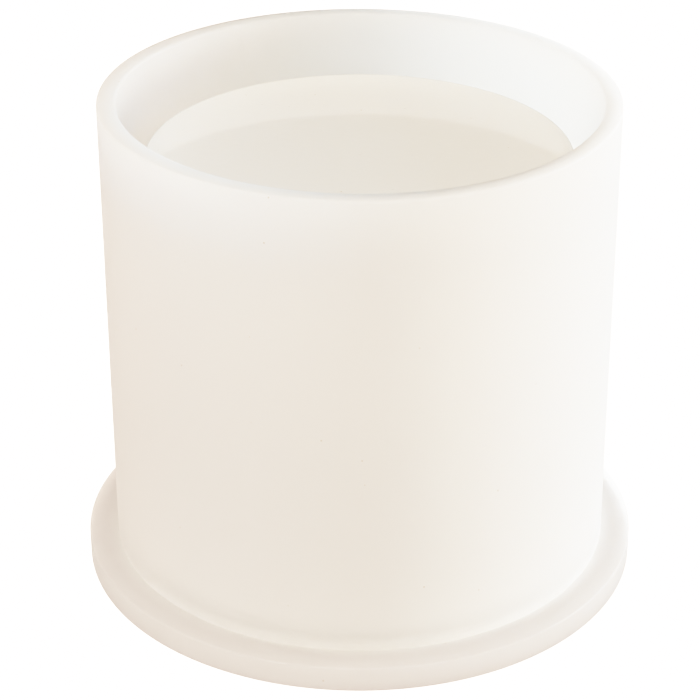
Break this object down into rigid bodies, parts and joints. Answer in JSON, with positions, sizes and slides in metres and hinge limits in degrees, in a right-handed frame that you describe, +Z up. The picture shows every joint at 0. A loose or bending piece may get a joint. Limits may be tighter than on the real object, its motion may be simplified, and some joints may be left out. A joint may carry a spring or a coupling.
{
  "type": "candle mold",
  "caption": "Round silicone mould for a thin-walled wax lantern: a plain sleeve that lifts off a flanged base with a hollow central core.",
  "frame": {"origin": "centre of the base's underside, on the surface the mould stands on", "axes": "+Z up along the turning axis, out of the pouring mouth; the shape is the same all round, so +X and +Y are free"},
  "size_m": [0.1084, 0.1084, 0.095],
  "materials": {
    "base_silicone": "milky translucent silicone, gloss on the core's flat top",
    "sleeve_silicone": "milky translucent silicone, soft satin"
  },
  "bodies": {
    "base": {"core_base": "base_silicone"},
    "sleeve": {"outer_sleeve": "sleeve_silicone"}
  },
  "joints": [
    {"name": "sleeve_lift", "type": "slide", "parent": "base", "child": "sleeve", "axis": [0, 0, 1], "range_m": [0, 0.09]}
  ]
}
